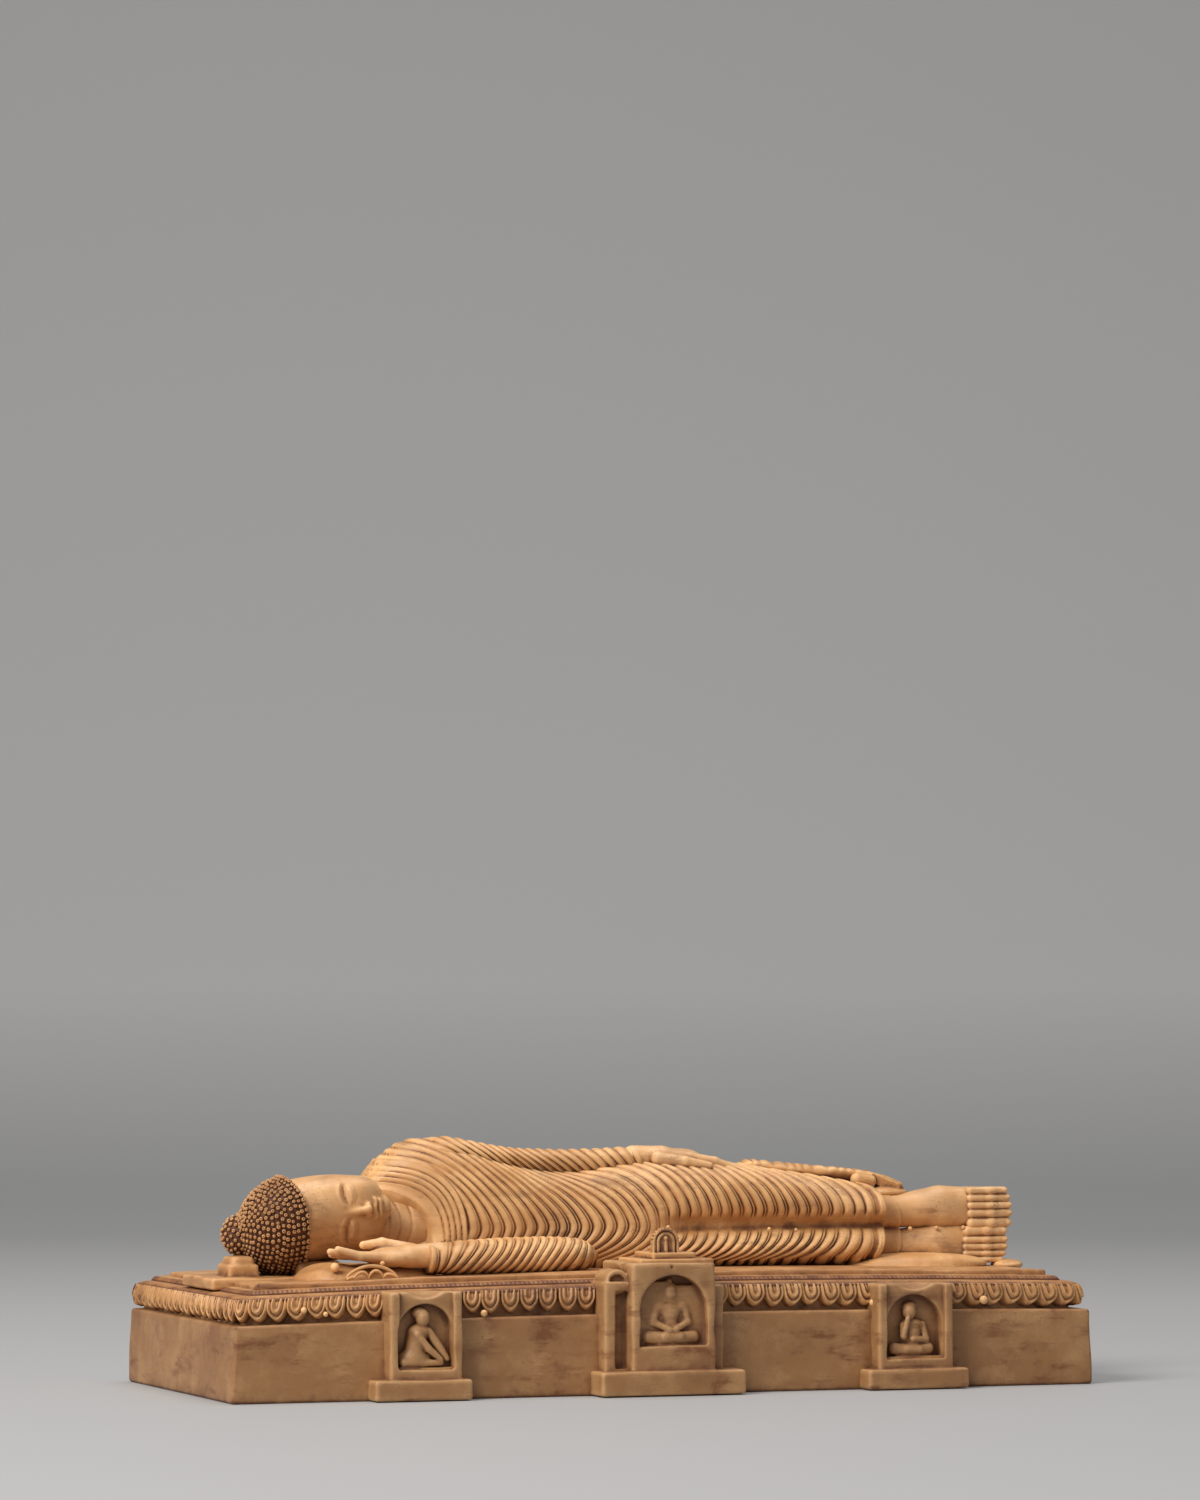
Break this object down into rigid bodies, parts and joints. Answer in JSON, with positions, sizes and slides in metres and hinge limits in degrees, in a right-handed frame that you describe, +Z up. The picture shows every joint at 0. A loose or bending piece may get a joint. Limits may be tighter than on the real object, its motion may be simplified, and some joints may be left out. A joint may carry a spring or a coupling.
{
  "type": "reclining buddha figure",
  "caption": "Reclining buddha in a pleated robe, head on a cushion and hand under the cheek, cast in one with a stepped plinth that has a lotus-petal moulding and front niches.",
  "frame": {"origin": "middle of the underside of the bounding box", "axes": "+X towards the feet, +Y towards the back of the figure, so -Y is the chest side with the niches, +Z up"},
  "size_m": [0.29, 0.13, 0.081],
  "materials": {
    "cast_resin": "satin cast resin with a brown wash left in the hollows"
  },
  "bodies": {
    "root": {"reclining_buddha": "cast_resin"}
  },
  "joints": []
}
